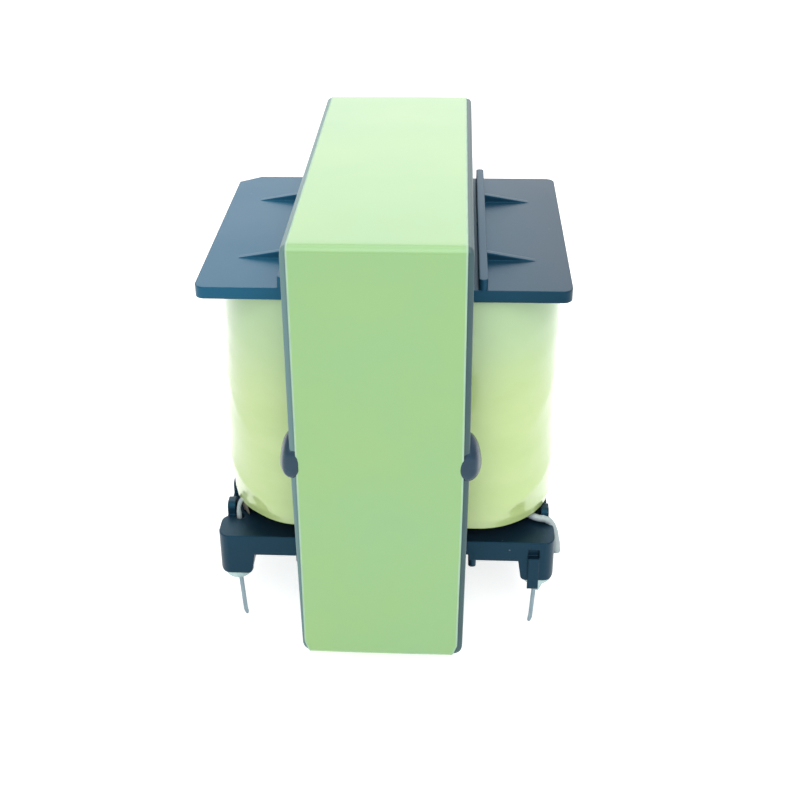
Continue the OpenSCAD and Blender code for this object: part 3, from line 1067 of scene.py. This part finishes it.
    def wrap(self) -> None:
        """Make the film wrap, drawn in at its lower edge and softly wrinkled."""
        low, high = node_box("winding_wrap")
        half = (high - low) / 2
        height = high.z - low.z
        walk = self.outline(half.x, half.y, self.corner_r)
        perimeter = walk[0][5]
        creases = self.creases(perimeter, height)
        points: list[Point] = []
        levels = [(height * (j / self.rows) ** self.row_power, False) for j in range(self.rows + 1)]
        for z, inside in levels + [(height, True), (0.0, True)]:
            for x, y, nx, ny, s, _ in walk:
                swell = sum(d * noise.noise(Vector((s * r, z * u, at))) for d, r, u, at in self.swells)
                swell += self.fold_share * sum(c.lift(s, z, perimeter) for c in creases)
                if swell < 0:
                    swell = self.deepest * math.tanh(swell / self.deepest)
                out = (-self.film_t if inside else swell) - self.inset(nx, z)
                edge = self.hem(nx, ny, s) * (1 - blend_step(z, 0, self.hem_height))
                points.append((x + nx * out, y + ny * out, low.z + z + edge))
        piece = mesh_piece("winding_film_wrap", points, shell_faces(self.rows + 3, self.columns))
        self.paints.dress(piece, WRAP_FILM)
        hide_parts("winding_wrap")
        LOG.info("wrap: %d faces", len(piece.data.polygons))

    def tab(self, corner: Corner) -> None:
        """Make the crumpled border of margin tape that shows under the wrap at a lead's corner.

        Args:
            corner: The corner wanted.
        """
        low, high = node_box("winding_wrap")
        floor = node_box("margin_tape_lower")[0].z
        half = (high - low) / 2
        sx, sy = corner.signs
        columns, rows = self.tab_columns, self.tab_rows
        round_rate, up_rate = self.tab_waves
        start, end = self.heavy_tab if corner.heavy else self.light_tab
        sheets: list[Point] = []
        for depth in (0.0, self.tab_t):
            for j in range(rows + 1):
                t = j / rows
                z = floor + self.tab_foot + (low.z + self.tab_over - floor) * t
                for k in range(columns + 1):
                    a = math.radians(start + (end - start) * k / columns)
                    crumple = noise.noise(Vector((k * round_rate, t * up_rate, sx * 3.0 + sy)))
                    r = self.corner_r - self.tab_in + self.tab_lean * t - depth + self.tab_crumple * crumple
                    x = half.x - self.corner_r - self.tab_shift[0] + r * math.cos(a)
                    y = half.y - self.corner_r - self.tab_shift[1] + r * math.sin(a)
                    sheets.append((sx * x, sy * y, z))
        wide = columns + 1
        count = wide * (rows + 1)
        faces = []
        for j in range(rows):
            for k in range(columns):
                a = j * wide + k
                faces.append([a, a + 1, a + 1 + wide, a + wide])
                faces.append([count + a, count + a + wide, count + a + 1 + wide, count + a + 1])
        rim = [*range(wide), *(j * wide + columns for j in range(1, rows + 1))]
        rim += [rows * wide + k for k in reversed(range(columns))]
        rim += [j * wide for j in reversed(range(1, rows))]
        for a, b in zip(rim, rim[1:] + rim[:1]):
            faces.append([b, a, count + a, count + b])
        piece = mesh_piece(f"margin_tab_{corner.label}", sheets, faces)
        self.paints.dress(piece, MARGIN_FILM)

    def hem(self, nx: float, ny: float, s: float) -> float:
        """Rise of the wrap's lower edge, which sags between the corners and lifts over the thin leads."""
        rise = (self.light_rise * 2 * nx * ny if nx * ny > 0 else 0.0) - self.hem_sag * ny**self.hem_power
        return rise + self.hem_wave * noise.noise(Vector((s * self.hem_rate, 0.0, self.hem_seed)))


@dataclass
class Bobbin(Assembly):
    """The moulded bobbin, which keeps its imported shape."""

    def build(self) -> None:
        """Dress the bobbin."""
        self.paints.dress_node(self.frame, "bobbin", MOULDED)


@dataclass
class Terminals(Assembly):
    """Pins, solder, leads and sleeves at the four corners.

    Routes are given for the corner at +X -Y, in millimetres, and are mirrored to the others.
    """

    wire_r: float = 0.29
    bend: float = 0.42
    bend_height: float = 7.5
    hook: float = 0.12
    hook_height: float = 0.9
    tip: float = 0.35
    tip_height: float = 0.4
    sleeve_r: float = 0.6
    thin_sleeve_r: float = 0.36
    sleeve_bore: float = 0.6
    lead_r: float = 0.4
    thin_lead_r: float = 0.2
    tinned_z: float = 10.6
    squeeze: float = 0.76
    squeezed_to: Pair = (0.6, 0.9)
    rolled: float = 0.66
    roll_steps: int = 6
    # Share of a sleeve's radius that swells and shrinks along it, and how fast
    uneven: Pair = (0.03, 0.7)
    lead_tip: float = 0.2
    lead_tip_steps: int = 4
    solder_over: float = 0.15
    spill: float = 0.3
    thin_spill: float = 0.1
    seat: float = 0.05
    tight: float = 0.96
    # Depth, number and turn of the solder's soft lobes
    lobes: Point = (0.04, 3.0, 1.1)
    # Share of its height where a fillet narrows, the share it does so over, and how fast
    fillet: Point = (0.36, 0.56, 1.35)
    around: int = 24
    lead_around: int = 16
    sleeve_steps: int = 8
    lead_steps: int = 6
    heavy_route: tuple[Point, ...] = (
        (17.2, -12.7, 17.5), (17.3, -12.8, 16.2), (17.7, -13.1, 15.4), (18.5, -13.6, 15.0),
        (19.5, -14.0, 14.8), (20.3, -14.05, 14.72), (20.95, -14.1, 14.45), (21.4, -14.25, 13.9),
        (21.68, -14.5, 13.1), (21.85, -14.9, 12.0), (21.98, -15.2, 10.95), (21.98, -15.25, 10.4),
    )
    light_route: tuple[Point, ...] = (
        (17.12, -12.67, 17.74), (18.1, -13.0, 17.0), (19.1, -13.4, 16.2), (19.45, -13.75, 15.3),
        (19.45, -14.0, 14.2), (19.4, -14.1, 12.9),
    )
    heavy_tail: tuple[Point, ...] = (
        (21.45, -15.45, 10.6), (21.02, -15.55, 10.1), (20.98, -15.6, 9.0), (20.95, -15.7, 8.1),
        (20.6, -16.0, 7.25), (20.0, -16.35, 6.3), (19.6, -16.5, 5.3),
    )
    light_tail: tuple[Point, ...] = (
        (19.29, -14.15, 12.9), (19.29, -14.15, 10.5), (19.29, -14.2, 8.3), (19.32, -14.9, 7.6),
        (19.35, -15.8, 7.2),
    )

    def build(self) -> None:
        """Make the pins, the solder, the leads and their sleeves."""
        for corner in Corner:
            self.pin(corner)
            self.solder(corner)
            self.sleeve(corner)
            self.lead(corner)

    def mirrored(self, corner: Corner, points: Sequence[Point]) -> list[Point]:
        """Bring points of the corner at +X -Y into another corner."""
        sx, sy = corner.signs
        return [(sx * x, -sy * y, z) for x, y, z in points]

    def lean(self, z: float) -> float:
        """How far a pin leans inward at a height above its tip."""
        bend = self.bend * max(0.0, 1 - z / self.bend_height)
        return bend + self.hook * (1 - blend_step(z, 0.0, self.hook_height))

    def pin(self, corner: Corner) -> None:
        """Make one pin, bent a little inward, with a nipped tip.

        Args:
            corner: Where the pin stands.
        """
        low, high = node_box(f"pin_{corner.label}")
        centre = (low + high) / 2
        inward = -corner.signs[0]
        path, radii, steps = [], [], 44
        for k in range(steps + 1):
            z = high.z * (1 - k / steps)
            path.append(Vector((centre.x + inward * self.lean(z), centre.y, z)))
            radii.append(self.wire_r * (1.0 - self.tip * (1 - blend_step(z, 0.0, self.tip_height))))
        points = tube_rings(path, radii, self.around)
        piece = mesh_piece(f"bent_pin_{corner.label}", points, ring_faces(steps + 1, self.around))
        self.paints.dress(piece, TINNED)
        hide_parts(f"pin_{corner.label}")

    def solder(self, corner: Corner) -> None:
        """Make one solder fillet, full at the rail and drawn down along the pin.

        Args:
            corner: Where the fillet is.
        """
        low, high = node_box(f"solder_{corner.label}")
        centre = (low + high) / 2
        outer = (high.x - low.x) / 2 + self.solder_over
        height = high.z - low.z
        steps, around = 28, 40
        sx, _ = corner.signs
        reach = self.spill if corner.heavy else self.thin_spill
        start, span, curve = self.fillet
        depth, lobes, turn = self.lobes
        points: list[Point] = []
        for k in range(steps + 1):
            t = k / steps
            z = high.z + self.seat - height * t
            full = 1 - min(max((t - start) / span, 0.0), 1.0) ** curve
            lean = -sx * self.lean(z) * t
            for a in range(around):
                angle = 2 * math.pi * a / around
                spread = 1 + depth * math.sin(lobes * angle + turn)
                out = reach * max(0.0, sx * math.cos(angle)) ** 2 * (1 - t)
                r = self.wire_r * self.tight + (outer - self.wire_r) * full * spread + out * full**0.5
                points.append((centre.x + lean + r * math.cos(angle), centre.y + r * math.sin(angle), z))
        faces = ring_faces(steps + 1, around, flip=True)
        piece = mesh_piece(f"solder_fillet_{corner.label}", points, faces)
        self.paints.dress(piece, SOLDER)
        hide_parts(f"solder_{corner.label}")

    def sleeve(self, corner: Corner) -> None:
        """Make one sleeve, slightly uneven along its length, with a rolled end.

        Args:
            corner: Where the sleeve is.
        """
        route = self.heavy_route if corner.heavy else self.light_route
        radius = self.sleeve_r if corner.heavy else self.thin_sleeve_r
        path = smooth_path(self.mirrored(corner, route), self.sleeve_steps)
        length = len(path) - 1
        swing, rate = self.uneven
        radii = []
        for i in range(length + 1):
            near = math.sqrt(blend_step(min(i, length - i), 0, self.roll_steps))
            share = self.squeeze + (1 - self.squeeze) * blend_step(i / length, *self.squeezed_to)
            share *= self.rolled + (1 - self.rolled) * near
            radii.append(radius * share * (1 + swing * math.sin(i * rate)))
        bore = [r * self.sleeve_bore for r in radii]
        outside = tube_rings(path, radii, self.around)
        inside = tube_rings(path, bore, self.around)
        for i in range(length, -1, -1):
            outside += inside[i * self.around : (i + 1) * self.around]
        faces = shell_faces(2 * (length + 1), self.around)
        piece = mesh_piece(f"drawn_sleeve_{corner.label}", outside, faces)
        self.paints.dress(piece, SLEEVING)
        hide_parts(f"sleeve_{corner.label}")

    def lead(self, corner: Corner) -> None:
        """Make one lead, from its sleeve to the solder.

        Args:
            corner: Where the lead is.
        """
        route, tail = (
            (self.heavy_route, self.heavy_tail) if corner.heavy else (self.light_route, self.light_tail)
        )
        radius = self.lead_r if corner.heavy else self.thin_lead_r
        path = smooth_path(self.mirrored(corner, route[:-1] + tail), self.lead_steps)
        last = len(path) - 1
        ends = [1 - blend_step(last - i, 0, self.lead_tip_steps) for i in range(last + 1)]
        radii = [radius * (1 - self.lead_tip * end) for end in ends]
        points = tube_rings(path, radii, self.lead_around)
        piece = mesh_piece(f"drawn_lead_{corner.label}", points, ring_faces(len(path), self.lead_around))
        self.paints.dress(piece, COPPER, SOLDER)
        for face in piece.data.polygons:
            face.material_index = int(face.center.z < self.tinned_z * MM)
        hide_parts(f"lead_{corner.label}")


@dataclass
class Glue(Assembly):
    """Epoxy beads over the joint of the core halves, run a little onto the front of the core.

    The upper and lower halves of a bead each have their share of the height and their sharpness.
    """

    half: Point = (1.5, 2.7, 3.3)
    upper: Pair = (1.12, 1.5)
    lower: Pair = (0.62, 0.9)
    unevenness: float = 0.08
    film: float = 0.42
    back: float = 2.0
    sag: float = 0.4
    sunk: float = 0.15
    over_joint: float = 0.2
    # Bumps round the bead and up it, in waves of the noise
    bumps: Pair = (1.3, 1.6)
    rings: int = 34
    around: int = 48

    def build(self) -> None:
        """Make the four beads."""
        for corner in Corner:
            self.bead(corner)

    def bead(self, corner: Corner) -> None:
        """Make one bead, full below and drawn out to a point above.

        Args:
            corner: Where the bead is.
        """
        sx, sy = corner.signs
        side, face, joint = node_box("core_lower")[1]
        centre = Vector((side - self.sunk, self.back - face, joint + self.over_joint))
        wide_rate, up_rate = self.bumps
        points: list[Point] = []
        for i in range(self.rings + 1):
            polar = math.pi * i / self.rings
            up = math.cos(polar)
            tall, sharp = self.upper if up > 0 else self.lower
            wide = math.sin(polar) ** sharp
            for k in range(self.around):
                a = 2 * math.pi * k / self.around
                c, w = math.cos(a), math.sin(a)
                bump = noise.noise(Vector((c * wide_rate + sx, w * wide_rate + sy, up * up_rate)))
                reach = wide * (1 + self.unevenness * bump)
                x = centre.x + self.half[0] * reach * c
                y = centre.y - self.half[1] * reach * w - self.sag * max(0.0, -up)
                z = centre.z + self.half[2] * up * tall
                beyond = -y - face
                if beyond > 0:
                    y = -face - self.film * (1 - math.exp(-beyond / self.film))
                points.append((sx * x, -sy * y, z))
        faces = ring_faces(self.rings + 1, self.around, close_ends=False, flip=sx * sy < 0)
        piece = mesh_piece(f"epoxy_bead_{corner.label}", points, faces)
        self.paints.dress(piece, EPOXY)
        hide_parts(f"glue_{corner.label}")


# ---- stage, light and camera ----


@dataclass
class Stage:
    """Pale floor, soft lamps and the camera."""

    lens: float = 56.84
    sensor: float = 36.0
    nearest: float = 0.005
    shift: Pair = (0.0235, -0.0635)
    yaw: float = 0.0634
    pitch: float = 0.4821
    roll: float = -0.0139
    eye: Point = (8.145, -149.644, 110.222)
    aim: Point = (0.0, 0.0, 30.0)
    # Name, place in metres, side in metres and power in watts
    lamps: tuple[tuple[str, Point, float, float], ...] = (
        ("key_lamp", (0.06, -0.45, 0.5), 0.5, 1.9),
        ("top_lamp", (0.05, 0.0, 0.7), 0.5, 1.2),
        ("back_lamp", (-0.05, 0.6, 0.4), 0.7, 1.35),
    )
    floor_half: float = 3.0
    floor_glow: float = 0.72
    sky: Pair = (0.4, 1.0)

    def build(self) -> None:
        """Make the floor, the world, the lamps and the camera."""
        self.floor()
        self.world()
        for lamp in self.lamps:
            self.lamp(*lamp)
        self.camera()

    def floor(self) -> None:
        """Lay a pale floor that shows white to the camera and keeps the shadow."""
        mesh = bpy.data.meshes.new("floor")
        corners = ((-1, -1), (1, -1), (1, 1), (-1, 1))
        points = [(x * self.floor_half, y * self.floor_half, 0) for x, y in corners]
        mesh.from_pydata(points, [], [(0, 1, 2, 3)])
        floor = bpy.data.objects.new("floor", mesh)
        bpy.context.scene.collection.objects.link(floor)
        material, tree = new_material("pale_floor")
        seen = self.seen_by(tree)
        matt = add_node(tree, "BsdfDiffuse", {"Color": linear("#f4f6f6")})
        glow = add_node(tree, "Emission", {"Color": WHITE, "Strength": self.floor_glow})
        both = add_node(tree, "AddShader", {0: matt.outputs[0], 1: glow.outputs[0]})
        mix = add_node(tree, "MixShader", {0: seen, 1: matt.outputs[0], 2: both.outputs[0]})
        add_node(tree, "OutputMaterial", {"Surface": mix.outputs[0]})
        mesh.materials.append(material)

    def seen_by(self, tree: Tree) -> Socket:
        """Mark the rays that should see a white background.

        Args:
            tree: The node tree.

        Returns:
            A socket that is 1 for camera, glossy and transmission rays.
        """
        rays = add_node(tree, "LightPath")
        seen = rays.outputs["Is Camera Ray"]
        for kind in ("Is Glossy Ray", "Is Transmission Ray"):
            inputs = {0: seen, 1: rays.outputs[kind]}
            seen = add_node(tree, "Math", inputs, operation="MAXIMUM").outputs[0]
        return seen

    def world(self) -> None:
        """Light the whole scene softly and show white behind it."""
        world = bpy.data.worlds.new("studio")
        bpy.context.scene.world = world
        world.use_nodes = True
        tree = world.node_tree
        tree.nodes.clear()
        strength = remap(tree, self.seen_by(tree), target=self.sky)
        light = add_node(tree, "Background", {"Color": WHITE, "Strength": strength})
        add_node(tree, "OutputWorld", {"Surface": light.outputs[0]})

    def lamp(self, name: str, place: Point, size: float, power: float) -> None:
        """Hang a square lamp that faces the object.

        Args:
            name: The lamp's name.
            place: Its place in metres.
            size: Its side in metres.
            power: Its power in watts.
        """
        light = bpy.data.lights.new(name, "AREA")
        light.shape = "SQUARE"
        light.size = size
        light.energy = power
        lamp = bpy.data.objects.new(name, light)
        bpy.context.scene.collection.objects.link(lamp)
        lamp.location = place
        toward = Vector(self.aim) * MM - Vector(place)
        lamp.rotation_euler = toward.to_track_quat("-Z", "Y").to_euler()

    def camera(self) -> None:
        """Set the camera at its place, with its lens and small shift."""
        cy, sy = math.cos(self.yaw), math.sin(self.yaw)
        cp, sp = math.cos(self.pitch), math.sin(self.pitch)
        forward = Vector((-sy * cp, cy * cp, -sp))
        level = Vector((cy, sy, 0))
        upright = level.cross(forward)
        cr, sr = math.cos(self.roll), math.sin(self.roll)
        right = level * cr + upright * sr
        up = upright * cr - level * sr
        data = bpy.data.cameras.new("camera")
        data.sensor_width = self.sensor
        data.lens = self.lens
        data.shift_x, data.shift_y = self.shift
        data.clip_start = self.nearest
        camera = bpy.data.objects.new("camera", data)
        bpy.context.scene.collection.objects.link(camera)
        turn = Matrix((right, up, -forward)).transposed().to_4x4()
        camera.matrix_world = Matrix.Translation(Vector(self.eye) * MM) @ turn
        bpy.context.scene.camera = camera


def main() -> None:
    """Dress the transformer and set its stage."""
    logging.basicConfig(level=logging.INFO, format="%(name)s: %(message)s")
    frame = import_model()
    bpy.context.scene.view_settings.view_transform = "Standard"
    paints = Paints()
    Stage().build()
    for assembly in (
        Bobbin(frame, paints),
        Core(frame, paints),
        Coil(frame, paints),
        Terminals(frame, paints),
        Glue(frame, paints),
    ):
        assembly.build()
        LOG.info("%s done", type(assembly).__name__)


if __name__ == "__main__":
    main()
